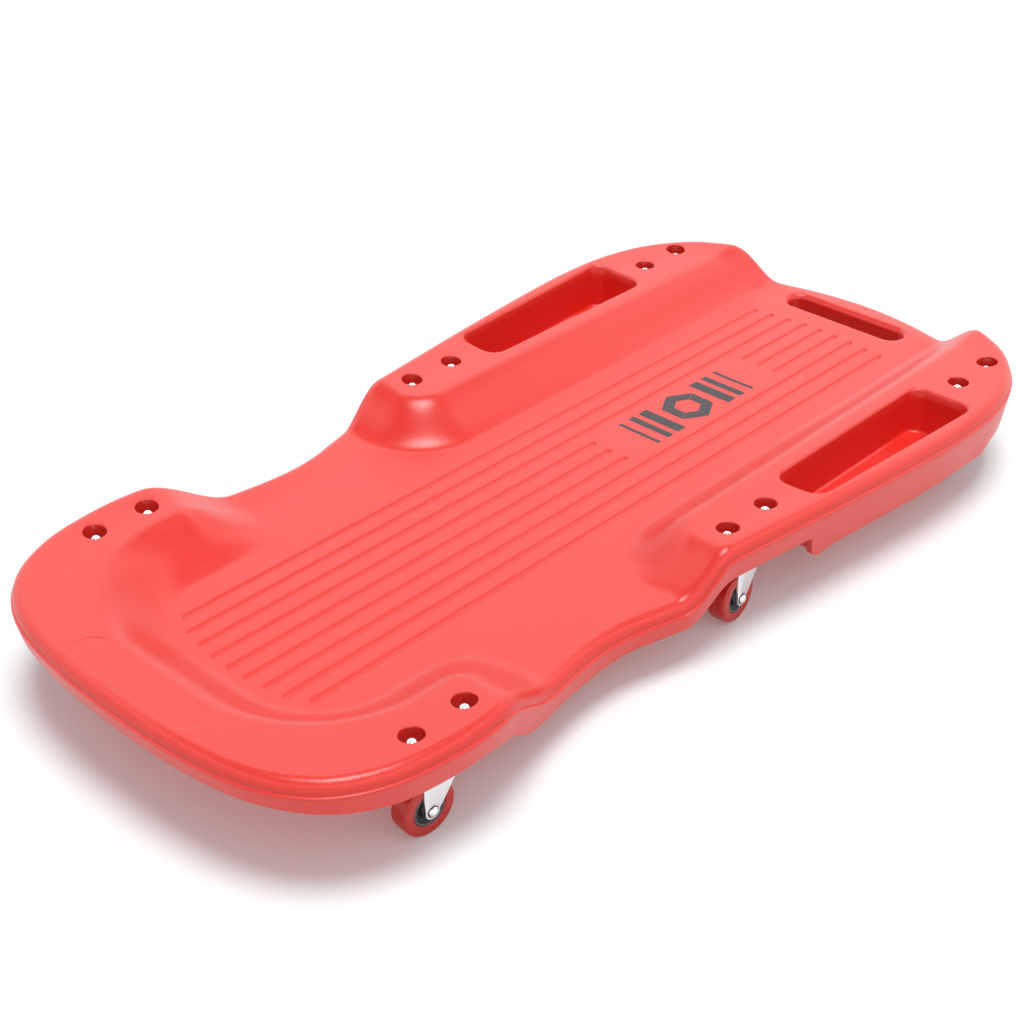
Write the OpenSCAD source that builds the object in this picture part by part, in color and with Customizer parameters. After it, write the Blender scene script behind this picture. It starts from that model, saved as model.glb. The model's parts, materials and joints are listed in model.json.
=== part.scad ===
// Mechanics creeper: blow-moulded hollow deck on six swivel casters.
// Frame: origin on the floor under the middle of the deck, +Z up.
// The headrest end is at -Y, the foot end with the carrying slot at +Y.

/* [Deck] */
// Overall length of the deck along Y
deck_len = 1016; // [1016:1:1016]
// Height of the flat lying surface above the floor
deck_z = 63.4; // [62:0.2:65]
// Rise of the headrest and the side rails above the lying surface
rail_rise = 33; // [30:0.5:35]
// Gentle upturn of the surface next to the outer edge
lip_rise = 3.6; // [0:0.2:5]
// Reach of the upturn inwards from the edge
lip_reach = 44; // [30:1:60]
// Radius of the rolled outer edge
roll_r = 13; // [10:0.5:14]
// Wall thickness of the hollow moulding
wall = 3.6; // [3:0.1:4.5]
// Inward draft of the skirt per millimetre of its height
skirt_draft = 0.22; // [0.2:0.01:0.25]
// Width of the solid foot along the skirt's lower edge
skirt_foot = 7; // [5:0.5:9]
// Height of the underside of the central pan
pan_z = 36; // [34:0.5:40]

/* [Grooves] */
// Number of lengthwise grooves
groove_n = 9; // [5:2:9]
// Distance between neighbouring grooves
groove_pitch = 19.9; // [18:0.1:21]
// Width of a groove
groove_w = 6; // [4:0.5:7]
// Depth of a groove
groove_depth = 1.8; // [1:0.1:2.2]
// Where the middle groove starts at the head end
groove_head_y = -396; // [-400:1:-385]
// Where the middle groove stops at the foot end
groove_foot_y = 415; // [400:1:420]

/* [Tool trays] */
// Inner edge of the tray mouth
tray_in_x = 172; // [168:1:176]
// Outer edge of the tray mouth at its head end
tray_out_x0 = 223; // [215:1:224]
// Outer edge of the tray mouth at its foot end
tray_out_x1 = 236; // [228:1:237]
// Head end of the tray mouth
tray_y0 = 88; // [86:1:95]
// Foot end of the tray mouth
tray_y1 = 319; // [300:1:320]
// Height of the tray floor
tray_floor_z = 53; // [45:0.5:54]
// Corner radius of the tray
tray_r = 14; // [10:1:18]

/* [Carrying slot] */
// Middle of the slot along Y
slot_y = 459; // [455:1:462]
// Overall length of the slot
slot_len = 142; // [120:1:150]
// Width of the slot
slot_w = 27; // [24:0.5:30]

/* [Caster fixing] */
// Height of the moulded pads that the caster plates bolt to
pad_z = 64; // [63:0.5:65]
// Distance between the two bolts of a caster
bolt_gap = 54; // [52:0.5:56]
// Radius of the bolt recess in the top of the deck
recess_r = 10.2; // [10:0.1:11]
// Height of the recess floor
recess_z = 80; // [74:0.5:82]
// Radius of the bolt shank
bolt_r = 3; // [3:0.1:3]
// Height of the top of the cap nut
nut_top_z = 93; // [90:0.5:93]

/* [Casters] */
// Outer radius of the wheel
wheel_r = 24.5; // [24:0.1:25]
// Width of the tyre
wheel_w = 17; // [15:0.5:18]
// Trail of the axle behind the swivel axis
trail = 17.5; // [15:0.5:18]
// Distance between the two legs of the fork
fork_gap = 20; // [19:0.5:21]
// Thickness of the pressed steel of plates and forks
steel_t = 2; // [1.8:0.1:2.2]
// Radius of the balls in the swivel bearing
ball_r = 2; // [2:0.1:2]
// Number of balls in the swivel bearing
ball_n = 14; // [10:1:16]

/* [Hidden] */
eps = 0.01;
washer_t = 1.4;
nut_r = 5.77;
nut_h = 5;
cap_r = 4.7;
dome_r = 6.2;
tray_mouth_z = 98;
waist_z = 31;
bolt_top_z = nut_top_z - 3;
bolt_head_h = 3.8;
pin_r = 4;
pin_seat_z = pad_z - 1.3;
boss_z = pad_z - 3.4;
ball_z = pad_z - 5.1;
race_r = 12.3;
fork_z = pad_z - 8.8;
leg_r = 7;
leg_out = fork_gap / 2 + steel_t;
axle_r = 3;
plate_r = 17;
plate_end_r = 8;
PLATE_ARC = 10;
bush_r = 4.6;
hub_r = 15;
swing_r = trail + wheel_r + 1.5;
end_y = deck_len / 2;
rail_z = deck_z + rail_rise;

// Right half of the outline, head centre to foot centre: [x, y]
OUTLINE = [
    [0, -508], [74, -505], [141, -492], [189, -463], [216, -418], [226, -366],
    [226, -320], [217, -283], [204, -235], [197, -180], [199, -140], [208, -103],
    [218, -62], [223, -20], [229, 28], [239, 110], [248, 196], [253.5, 272],
    [251, 338], [235, 396], [203, 443], [160, 471], [112, 487], [60, 502], [0, 508]
];
STEPS = 2;

// Caster places: name, swivel x, swivel y, yaw of the fork in degrees
CASTERS = [
    ["head_left", -193, -352, 9], ["head_right", 193, -352, -4],
    ["middle_left", -193, 20, -12], ["middle_right", 193, 20, 5],
    ["foot_left", -198, 383, 6], ["foot_right", 198, 383, -8]
];
CASTER_PARTS = ["plate", "kingpin", "balls", "fork", "axle", "axle_nut", "bushing", "hub", "tyre"];

function clamp01(t) = min(1, max(0, t));
function ease(a, b, t) = let (u = clamp01((t - a) / (b - a))) u * u * (3 - 2 * u);
function both(a, b) = 1 - (1 - a) * (1 - b);
function mix(a, b, t) = a + (b - a) * t;
function flat(l) = [for (a = l) each a];
function unit(v) = v / norm(v);

// Share of the full rise at a point of the top surface
// Distance outside the trough that the headrest and the two humps stand round, with round corners
function trough_out(x, y) = let (r = 66, qx = abs(x) - 108 + r, qy = r - 398 - y)
    norm([max(qx, 0), max(qy, 0)]) + min(max(qx, qy), 0) - r;
function head_part(x, y) = ease(0, 64, trough_out(x, y)) * (1 - ease(-312, -232, y));
function rail_in(x, y) = let (r = 80, qx = 104 - abs(x) + r, qy = r - 86 - y)
    r - norm([max(qx, 0), max(qy, 0)]) - min(max(qx, qy), 0);
function rail_part(x, y) = ease(0, 56, rail_in(x, y));
function top_part(x, y) = both(head_part(x, y), rail_part(x, y));
function foot_fade(x, y) = ease(440, 500, y) * (1 - ease(90, 150, abs(x)));

// Height of the top surface at d inside the edge, without the rolled edge itself
function top_z(x, y, d) = deck_z + rail_rise * top_part(x, y)
    + lip_rise * (1 - ease(0, lip_reach, d)) * (1 - 1.4 * foot_fade(x, y));

// Height of the skirt's lower edge along the outline
function skirt_z(x, y) = let (
        head = 8 * (1 - ease(-500, -400, y)),
        front = 1 - 0.2 * ease(-332, -300, y) - 0.8 * ease(-306, -250, y),
        middle = ease(-78, -24, y) * (1 - ease(70, 82, y)),
        tray = 4 * ease(92, 110, y),
        back = 11 * ease(338, 352, y),
        corner = 15 * ease(440, 480, y) * (1 - ease(90, 150, abs(x))),
        low_z = mix(waist_z, pan_z, ease(-190, -130, y))
    ) mix(low_z, pad_z, both(front, middle)) + head + tray + back - corner;

// Inward draft of the skirt, steeper at both ends of the deck
function draft_at(y) = skirt_draft - 0.06 * (1 - ease(-500, -400, y)) - 0.1 * ease(300, 360, y);

// Height of the underside inside the skirt
function pad_part(x, y) = ease(118, 144, abs(x)) * both(both(
        1 - ease(-304, -262, y),
        ease(-80, -28, y) * (1 - ease(74, 92, y))),
        ease(330, 340, y));
function under_z(x, y) = mix(mix(pan_z, pad_z - 1, pad_part(x, y)), pad_z + 8, 1 - ease(-448, -400, y));

// Smooth curve through the outline's points
function spline(a, b, c, d, t) = 0.5 * (2 * b + (c - a) * t + (2 * a - 5 * b + 4 * c - d) * t * t
    + (3 * b - a - 3 * c + d) * t * t * t);
function ctrl(i) = let (n = len(OUTLINE) - 1)
    i < 0 ? [-OUTLINE[-i].x, OUTLINE[-i].y]
    : i > n ? [-OUTLINE[2 * n - i].x, OUTLINE[2 * n - i].y] : OUTLINE[i];
function on_curve(u) = let (i = min(floor(u), len(OUTLINE) - 2), t = u - i)
    spline(ctrl(i - 1), ctrl(i), ctrl(i + 1), ctrl(i + 2), t);
EDGE_N = STEPS * (len(OUTLINE) - 1);
function edge_pt(k) = k == 0 ? OUTLINE[0] : k == EDGE_N ? OUTLINE[len(OUTLINE) - 1] : on_curve(k / STEPS);
function inward(k) = k == 0 ? [0, 1] : k == EDGE_N ? [0, -1]
    : let (t = unit(edge_pt(k + 1) - edge_pt(k - 1))) [-t.y, t.x];
EDGE = [for (k = [0:EDGE_N]) edge_pt(k)];
NORMAL = [for (k = [0:EDGE_N]) inward(k)];
function spine_y(y) = y * 0.87;

// One station of a section: a point d inside the edge, then on towards the spine
function station(k, d, f) = let (p = EDGE[k] + NORMAL[k] * d, s = [0, spine_y(EDGE[k].y)])
    [mix(p.x, s.x, f), mix(p.y, s.y, f)];
function roll_drop(d, r) = d >= r ? 0 : r - sqrt(max(0, r * r - (r - d) * (r - d)));

// Stations of the outer surface: [distance inside the edge, share of the way to the spine]
ROLL = [for (a = [0, 22, 45, 68, 90]) roll_r * (1 - cos(a))];
INNER = [0.09, 0.18, 0.26, 0.34, 0.42, 0.5, 0.62];
function top_row(k) = concat(
    [for (d = ROLL) let (p = station(k, d, 0)) [p.x, p.y, top_z(p.x, p.y, d) - roll_drop(d, roll_r)]],
    [for (f = INNER) let (p = station(k, roll_r, f))
        [p.x, p.y, top_z(p.x, p.y, roll_r + f * 200)]],
    [let (p = station(k, 0, 1)) [p.x, p.y, top_z(p.x, p.y, 200)]]
);
function skirt_in(k) = let (p = EDGE[k]) draft_at(p.y) * (top_z(p.x, p.y, 0) - roll_r - skirt_z(p.x, p.y));
UNDER = [0.07, 0.22, 0.33, 0.42, 0.5, 0.66];
function under_row(k) = let (q = skirt_in(k), e = EDGE[k], z = skirt_z(e.x, e.y)) concat(
    [let (p = station(k, q, 0)) [p.x, p.y, z], let (p = station(k, q + skirt_foot, 0)) [p.x, p.y, z]],
    [for (f = UNDER) let (p = station(k, q + skirt_foot, f)) [p.x, p.y, under_z(p.x, p.y)]],
    [let (p = station(k, 0, 1)) [p.x, p.y, under_z(p.x, p.y)]]
);

// A closed skin from half sections that all run from the edge to the spine and back
function mirrored(row) = concat(row, [for (j = [len(row) - 2:-1:0]) [-row[j].x, row[j].y, row[j].z]]);
module skin(tops, unders) {
    a = len(tops[0]);
    b = len(unders[0]);
    half = a + b;
    n = len(tops);
    // A section's loop: top from the right edge to the left, then the underside back
    loops = [for (k = [0:n - 1]) let (t = mirrored(tops[k]), u = mirrored(unders[k]))
        concat(t, [for (j = [len(u) - 1:-1:0]) u[j]])];
    m = len(loops[0]);
    // The end sections fold flat on the centre line: their left halves are their right ones,
    // and their spine points are those of the next section
    folds = function (k) k == 0 || k == n - 1;
    on_spine = function (j) j == a - 1 || j == 2 * a - 2 + b;
    fold = function (j) j < 2 * a - 1 ? min(j, 2 * a - 2 - j)
        : max(j, 4 * a + 2 * b - 4 - j);
    at = function (k, j) k * m + j;
    idx = function (k, j) let (jj = j % m)
        !folds(k) ? at(k, jj) : on_spine(jj) ? at(k == 0 ? 1 : n - 2, jj) : at(k, fold(jj));
    faces = [for (k = [0:n - 2], j = [0:m - 1])
        for (f = [[idx(k, j), idx(k + 1, j + 1), idx(k + 1, j)], [idx(k, j), idx(k, j + 1), idx(k + 1, j + 1)]])
            if (f[0] != f[1] && f[1] != f[2] && f[0] != f[2]) f];
    polyhedron(points = flat(loops), faces = faces, convexity = 10);
}

// The hollow inside the walls
CAV_IN = [0.14, 0.27, 0.38, 0.47, 0.62];
function cav_top(k) = concat(
    [for (d = [roll_r * 0.35 + wall, roll_r + wall]) let (p = station(k, d, 0))
        [p.x, p.y, top_z(p.x, p.y, d) - wall - roll_drop(d - wall, roll_r)]],
    [for (f = CAV_IN) let (p = station(k, roll_r + wall, f))
        [p.x, p.y, top_z(p.x, p.y, roll_r + f * 200) - wall - 1]],
    [let (p = station(k, 0, 1)) [p.x, p.y, top_z(p.x, p.y, 200) - wall - 1]]
);
function cav_under(k) = let (q = skirt_in(k) + wall, e = EDGE[k]) concat(
    [let (p = station(k, q + 1, 0)) [p.x, p.y, skirt_z(e.x, e.y) + wall]],
    [let (p = station(k, q + skirt_foot, 0)) [p.x, p.y, max(skirt_z(e.x, e.y), under_z(p.x, p.y)) + wall]],
    [for (f = CAV_IN) let (p = station(k, q + skirt_foot, f)) [p.x, p.y, under_z(p.x, p.y) + wall]],
    [let (p = station(k, 0, 1)) [p.x, p.y, under_z(p.x, p.y) + wall]]
);

module tray_form(grow, floor_z, top_z) {
    // The walls' slope carries on above the mouth
    above = (top_z - tray_mouth_z) / (tray_mouth_z - tray_floor_z);
    for (side = [-1, 1])
        hull()
            for (c = [[tray_in_x, tray_y0], [tray_out_x0, tray_y0], [tray_in_x, tray_y1], [tray_out_x1, tray_y1]])
                let (mid = [(tray_in_x + tray_out_x0) / 2, (tray_y0 + tray_y1) / 2],
                     dir = [sign(mid.x - c.x), sign(mid.y - c.y)],
                     corner = [c.x + dir.x * tray_r, c.y + dir.y * tray_r]) {
                    translate([side * (corner.x + 3 * dir.x), corner.y + 4 * dir.y, floor_z])
                        cylinder(r = tray_r + grow - 1, h = eps, $fn = 32);
                    translate([side * (corner.x - 3 * above * dir.x), corner.y - 4 * above * dir.y, top_z])
                        cylinder(r = tray_r + grow + above, h = eps, $fn = 32);
                }
}

module slot_form(grow, z0, z1) {
    reach = (slot_len - slot_w) / 2;
    translate([-reach, slot_y - slot_w / 2 - grow, z0]) cube([2 * reach, slot_w + 2 * grow, z1 - z0]);
    for (s = [-1, 1])
        translate([s * reach, slot_y, z0]) cylinder(r = slot_w / 2 + grow, h = z1 - z0, $fn = 48);
}

// Head end and foot end of groove i, counted from the middle
function groove_head(i) = groove_head_y + [0, 0.4, 2.8, 7.4, 17.5][i];
function groove_foot(i) = groove_foot_y - [0, 0.3, 2.3, 4.6, 7.6][i];
mark_y0 = 68;
mark_y1 = 301;
module groove(x, y0, y1) {
    z = deck_z - groove_depth;
    translate([x - groove_w / 2, y0, z]) cube([groove_w, y1 - y0, 10]);
}
module grooves() {
    half = (groove_n - 1) / 2;
    for (i = [-half:half])
        if (abs(i) > 1) {
            groove(i * groove_pitch, groove_head(abs(i)), groove_foot(abs(i)));
        } else {
            groove(i * groove_pitch, groove_head(abs(i)), mark_y0);
            groove(i * groove_pitch, mark_y1, groove_foot(abs(i)));
        }
}

module at_bolts() {
    for (c = CASTERS, s = [-1, 1])
        translate([c[1], c[2] + s * bolt_gap / 2, 0]) children();
}

module deck() {
    tops = [for (k = [0:EDGE_N]) top_row(k)];
    unders = [for (k = [0:EDGE_N]) under_row(k)];
    ctops = [for (k = [0:EDGE_N]) cav_top(k)];
    cunders = [for (k = [0:EDGE_N]) cav_under(k)];
    color([0.93, 0.27, 0.24]) difference() {
        skin(tops, unders);
        difference() {
            skin(ctops, cunders);
            tray_form(wall, tray_floor_z - wall, 130);
            slot_form(wall, 0, 130);
            at_bolts() cylinder(r = recess_r + wall, h = 130, $fn = 48);
        }
        tray_form(0, tray_floor_z, 130);
        slot_form(0, 0, 130);
        grooves();
        at_bolts() {
            translate([0, 0, recess_z]) cylinder(r = recess_r, h = 60, $fn = 48);
            cylinder(r = bolt_r + 0.3, h = 130, $fn = 32);
        }
        // Room for the plates, the forks and the swinging wheels
        for (c = CASTERS) translate([c[1], c[2], 0]) {
            cylinder(r = swing_r, h = 2 * wheel_r + 1.5, $fn = 48);
            cylinder(r = 28, h = pad_z - steel_t + 0.5, $fn = 48);
            linear_extrude(pad_z) plate_outline(1.5);
        }
    }
}

// ---- Deck fasteners ----

module deck_bolts() {
    color([0.86, 0.86, 0.88]) at_bolts() {
        translate([0, 0, pad_z - steel_t - bolt_head_h]) cylinder(r = nut_r, h = bolt_head_h, $fn = 6);
        translate([0, 0, pad_z - steel_t]) cylinder(r = bolt_r, h = bolt_top_z - 1 - pad_z + steel_t, $fn = 32);
        translate([0, 0, bolt_top_z - 1]) cylinder(r1 = bolt_r, r2 = bolt_r - 0.8, h = 1, $fn = 32);
    }
}

module deck_washers() {
    color([0.8, 0.8, 0.82]) at_bolts() translate([0, 0, recess_z]) difference() {
        cylinder(r = 8, h = washer_t, $fn = 32);
        translate([0, 0, -1]) cylinder(r = bolt_r + 0.25, h = 4, $fn = 32);
    }
}

// Cap nuts: a hexagon with a domed cap over the bolt's end
module deck_nuts() {
    seat_z = recess_z + washer_t;
    color([0.8, 0.8, 0.82]) at_bolts() difference() {
        union() {
            translate([0, 0, seat_z]) cylinder(r = nut_r, h = nut_h, $fn = 6);
            intersection() {
                translate([0, 0, nut_top_z - dome_r]) sphere(r = dome_r, $fn = 48);
                translate([0, 0, seat_z]) cylinder(r = cap_r, h = nut_top_z - seat_z, $fn = 48);
            }
        }
        translate([0, 0, seat_z - 1]) cylinder(r = bolt_r + 0.02, h = bolt_top_z - seat_z + 1.1, $fn = 32);
    }
}

// ---- Caster: swivel axis on local Z, the wheel trails towards local -Y ----

// Round middle and rounded ends joined by straight sides, as a closed loop of points
function arc(r, y, a0, a1) = [for (i = [0:PLATE_ARC]) let (a = mix(a0, a1, i / PLATE_ARC)) [r * cos(a), y + r * sin(a)]];
module plate_outline(grow) {
    reach = bolt_gap / 2;
    lean = asin((plate_r - plate_end_r) / reach);
    polygon(concat(
        arc(plate_r + grow, 0, -lean, lean),
        arc(plate_end_r + grow, reach, lean, 180 - lean),
        arc(plate_r + grow, 0, 180 - lean, 180 + lean),
        arc(plate_end_r + grow, -reach, 180 + lean, 360 - lean)
    ));
}

module race_groove() {
    translate([0, 0, ball_z]) rotate_extrude($fn = 64) translate([race_r, 0]) circle(r = ball_r + 0.15, $fn = 32);
}

module plate() {
    color([0.82, 0.82, 0.84]) difference() {
        union() {
            translate([0, 0, pad_z - steel_t]) linear_extrude(steel_t) plate_outline(0);
            translate([0, 0, boss_z]) cylinder(r = 16.5, h = pad_z - steel_t - boss_z, $fn = 64);
        }
        race_groove();
        translate([0, 0, 50]) cylinder(r = pin_r + 0.02, h = 30, $fn = 32);
        translate([0, 0, pin_seat_z]) cylinder(r = 8.3, h = 10, $fn = 48);
        for (s = [-1, 1])
            translate([0, s * bolt_gap / 2, 50]) cylinder(r = bolt_r + 0.3, h = 30, $fn = 32);
    }
}

module kingpin() {
    color([0.78, 0.78, 0.8]) {
        translate([0, 0, pin_seat_z]) cylinder(r = 8, h = pad_z - 0.2 - pin_seat_z, $fn = 48);
        translate([0, 0, fork_z - 0.1]) cylinder(r = pin_r, h = pin_seat_z - fork_z + 0.1, $fn = 32);
        translate([0, 0, fork_z - 1.7]) cylinder(r1 = 5.5, r2 = 7.5, h = 1.6, $fn = 48);
    }
}

module balls() {
    color([0.75, 0.75, 0.78])
        for (i = [0:ball_n - 1])
            rotate([0, 0, 360 * i / ball_n]) translate([race_r, 0, ball_z]) sphere(r = ball_r, $fn = 24);
}

// One leg of the fork, seen from the side: [y, z]
module leg_outline() {
    axle = [-trail, wheel_r];
    top = [11, fork_z + steel_t];
    lean = atan2(top.y - axle.y, top.x - axle.x) - acos(leg_r / norm(top - axle));
    translate(axle) circle(r = leg_r, $fn = 48);
    polygon([axle, [axle.x - leg_r, axle.y], [axle.x - leg_r, top.y], top,
        axle + leg_r * [cos(lean), sin(lean)]]);
}

module fork() {
    color([0.86, 0.86, 0.88]) difference() {
        union() {
            translate([0, 0, fork_z]) cylinder(r = 16, h = steel_t, $fn = 64);
            translate([-leg_out, -trail - leg_r, fork_z]) cube([2 * leg_out, trail + leg_r, steel_t]);
            for (s = [-1, 1])
                translate([s > 0 ? leg_out - steel_t : -leg_out, 0, 0])
                    rotate([90, 0, 90]) linear_extrude(steel_t) leg_outline();
            translate([0, 0, fork_z + steel_t]) difference() {
                cylinder(r = 16, h = 2, $fn = 64);
                translate([0, 0, -1]) cylinder(r = 15, h = 4, $fn = 64);
            }
        }
        race_groove();
        translate([0, 0, 40]) cylinder(r = pin_r + 0.06, h = 30, $fn = 32);
        at_axle(-20) cylinder(r = axle_r + 0.02, h = 40, $fn = 32);
    }
}

// Local Z becomes +X along the axle, starting at x
module at_axle(x) {
    translate([x, -trail, wheel_r]) rotate([0, 90, 0]) children();
}

module axle() {
    color([0.88, 0.88, 0.9]) {
        at_axle(-leg_out - nut_h - 1.5) cylinder(r = axle_r, h = 2 * leg_out + nut_h + 1.5, $fn = 32);
        at_axle(leg_out) cylinder(r = 4.8, h = 1.2, $fn = 48);
        at_axle(leg_out + 1.2) cylinder(r1 = 4.8, r2 = 2.6, h = 1.8, $fn = 48);
    }
}

module axle_nut() {
    color([0.8, 0.8, 0.82]) at_axle(-leg_out - nut_h) difference() {
        cylinder(r = nut_r - 0.3, h = nut_h, $fn = 6);
        translate([0, 0, -1]) cylinder(r = axle_r + 0.02, h = nut_h + 2, $fn = 32);
    }
}

module bushing() {
    color([0.7, 0.7, 0.72]) at_axle(-fork_gap / 2) difference() {
        cylinder(r = bush_r, h = fork_gap, $fn = 32);
        translate([0, 0, -1]) cylinder(r = axle_r + 0.02, h = fork_gap + 2, $fn = 32);
    }
}

module ring(r0, r1, half_w) {
    difference() {
        translate([0, 0, -half_w]) cylinder(r = r1, h = 2 * half_w, $fn = 64);
        translate([0, 0, -half_w - 1]) cylinder(r = r0, h = 2 * half_w + 2, $fn = 64);
    }
}

module hub() {
    bore_r = bush_r + 0.06;
    color([0.12, 0.12, 0.13]) at_axle(0) {
        ring(bore_r, 7.5, fork_gap / 2 - 0.7);
        ring(7.5, hub_r - 2, 3.2);
        ring(hub_r - 2, hub_r, wheel_w / 2 - 0.6);
    }
}

module tyre() {
    half_w = wheel_w / 2;
    corner = 2.6;
    color([0.85, 0.2, 0.16]) at_axle(0) rotate_extrude($fn = 96) {
        translate([hub_r + 0.02, -half_w]) square([wheel_r - corner - hub_r - 0.02, wheel_w]);
        translate([wheel_r - corner - eps, corner - half_w]) square([corner + eps, wheel_w - 2 * corner]);
        for (s = [-1, 1])
            translate([wheel_r - corner, s * (half_w - corner)]) circle(r = corner, $fn = 32);
    }
}

module caster_part(name) {
    if (name == "plate") plate();
    if (name == "kingpin") kingpin();
    if (name == "balls") balls();
    if (name == "fork") fork();
    if (name == "axle") axle();
    if (name == "axle_nut") axle_nut();
    if (name == "bushing") bushing();
    if (name == "hub") hub();
    if (name == "tyre") tyre();
}

// The plates and what is riveted to them stay square to the deck, the rest turns with the fork
function fixed_part(name) = name == "plate" || name == "kingpin" || name == "balls";

deck();
deck_bolts();
deck_washers();
deck_nuts();
for (c = CASTERS, p = CASTER_PARTS)
    translate([c[1], c[2], 0]) rotate([0, 0, fixed_part(p) ? 0 : c[3]]) caster_part(p);
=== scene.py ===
"""Mechanics creeper: looks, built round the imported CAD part.

Lengths are in millimetres until mesh() turns them to metres. X is across, Y runs from head to foot.
"""
import json
import math

import bmesh
import bpy
import numpy as np
from mathutils import Matrix, Vector, kdtree
from mathutils.geometry import delaunay_2d_cdt

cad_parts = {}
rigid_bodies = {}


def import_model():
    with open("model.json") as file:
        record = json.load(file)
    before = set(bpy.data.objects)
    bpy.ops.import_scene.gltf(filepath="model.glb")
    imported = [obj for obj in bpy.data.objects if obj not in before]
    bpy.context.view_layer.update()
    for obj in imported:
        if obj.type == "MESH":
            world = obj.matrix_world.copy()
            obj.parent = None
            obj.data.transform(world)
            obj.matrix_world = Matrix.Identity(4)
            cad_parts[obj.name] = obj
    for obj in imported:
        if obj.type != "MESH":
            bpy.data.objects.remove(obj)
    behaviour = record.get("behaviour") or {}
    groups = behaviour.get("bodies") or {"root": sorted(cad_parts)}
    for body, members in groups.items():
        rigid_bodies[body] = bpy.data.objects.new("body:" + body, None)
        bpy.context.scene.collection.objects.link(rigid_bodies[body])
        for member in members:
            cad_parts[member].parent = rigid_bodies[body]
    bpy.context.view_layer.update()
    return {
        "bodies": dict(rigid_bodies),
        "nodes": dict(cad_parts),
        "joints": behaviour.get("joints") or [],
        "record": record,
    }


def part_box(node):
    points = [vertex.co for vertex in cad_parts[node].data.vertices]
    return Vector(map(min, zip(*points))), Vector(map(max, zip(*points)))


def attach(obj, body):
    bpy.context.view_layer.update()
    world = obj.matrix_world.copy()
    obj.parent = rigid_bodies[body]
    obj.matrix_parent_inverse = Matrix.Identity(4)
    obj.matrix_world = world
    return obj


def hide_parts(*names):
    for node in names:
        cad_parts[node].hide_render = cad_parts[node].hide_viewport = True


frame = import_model()
MM = 1000.0
DECK_LO, DECK_HI = (np.array(v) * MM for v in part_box("deck"))
END_Y = DECK_HI[1]
HALF_X = DECK_HI[0]
WASHER_LO, WASHER_HI = (np.array(v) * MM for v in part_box("deck_washers"))
CASTERS = [b[: -len("_swivel")] for b in frame["bodies"] if b.endswith("_swivel")]
SWIVEL = {j["child"][: -len("_swivel")]: j for j in frame["joints"] if j["child"].endswith("_swivel")}
SPIN = {j["child"][: -len("_wheel")]: j for j in frame["joints"] if j["child"].endswith("_wheel")}

# ---------------------------------------------------------------- materials


WIDE_SCALE, WIDE_DETAIL, FINE_DETAIL = 9.0, 4.0, 2.0
BUMP_DISTANCE = 0.0004


def material(name, color, rough, metallic=0.0, bump=0.1, scale=900.0, vary=0.06, rough_vary=0.08):
    """A finish with a fine grain in bump and roughness, and a slow change of colour."""
    m = bpy.data.materials.new(name)
    m.use_nodes = True
    nt = m.node_tree
    n, link = nt.nodes, nt.links.new
    p = n["Principled BSDF"]
    p.inputs["Metallic"].default_value = metallic
    co = n.new("ShaderNodeTexCoord")
    fine = n.new("ShaderNodeTexNoise")
    fine.inputs["Scale"].default_value = scale
    fine.inputs["Detail"].default_value = FINE_DETAIL
    link(co.outputs["Object"], fine.inputs["Vector"])
    wide = n.new("ShaderNodeTexNoise")
    wide.inputs["Scale"].default_value = WIDE_SCALE
    wide.inputs["Detail"].default_value = WIDE_DETAIL
    link(co.outputs["Object"], wide.inputs["Vector"])
    mixc = n.new("ShaderNodeMixRGB")
    mixc.inputs["Color1"].default_value = (*[c * (1 - vary) for c in color], 1)
    mixc.inputs["Color2"].default_value = (*[min(1, c * (1 + vary)) for c in color], 1)
    link(wide.outputs["Fac"], mixc.inputs["Fac"])
    link(mixc.outputs["Color"], p.inputs["Base Color"])
    spread = n.new("ShaderNodeMapRange")
    spread.inputs["To Min"].default_value = rough - rough_vary / 2
    spread.inputs["To Max"].default_value = rough + rough_vary / 2
    link(fine.outputs["Fac"], spread.inputs["Value"])
    link(spread.outputs["Result"], p.inputs["Roughness"])
    b = n.new("ShaderNodeBump")
    b.inputs["Strength"].default_value = bump
    b.inputs["Distance"].default_value = BUMP_DISTANCE
    link(fine.outputs["Fac"], b.inputs["Height"])
    link(b.outputs["Normal"], p.inputs["Normal"])
    return m


MAT = {
    "deck_red": material("deck_red", (0.775, 0.030, 0.019), 0.31, bump=0.34, scale=520, vary=0.02,
                         rough_vary=0.06),
    "tyre_red": material("tyre_red", (0.54, 0.017, 0.011), 0.32, bump=0.05, scale=300, vary=0.05),
    "hub_black": material("hub_black", (0.018, 0.018, 0.02), 0.38, bump=0.08, scale=500),
    "hub_lip": material("hub_lip", (0.11, 0.11, 0.12), 0.42, bump=0.06, scale=500),
    "zinc": material("zinc", (0.78, 0.78, 0.80), 0.30, metallic=1.0, bump=0.05, scale=260,
                     rough_vary=0.14),
    "bolt_zinc": material("bolt_zinc", (0.82, 0.82, 0.84), 0.22, metallic=1.0, bump=0.04, scale=400),
    "steel": material("steel", (0.55, 0.55, 0.57), 0.28, metallic=1.0, bump=0.04, scale=500),
    # The dark ring under each axle bolt's head is painted shade where the head meets the fork leg, not a part
    # of its own
    "gasket": material("gasket", (0.07, 0.07, 0.075), 0.5, bump=0.05, scale=400),
    "mark": material("mark", (0.028, 0.026, 0.031), 0.55, bump=0.18, scale=620, vary=0.1),
}


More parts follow.
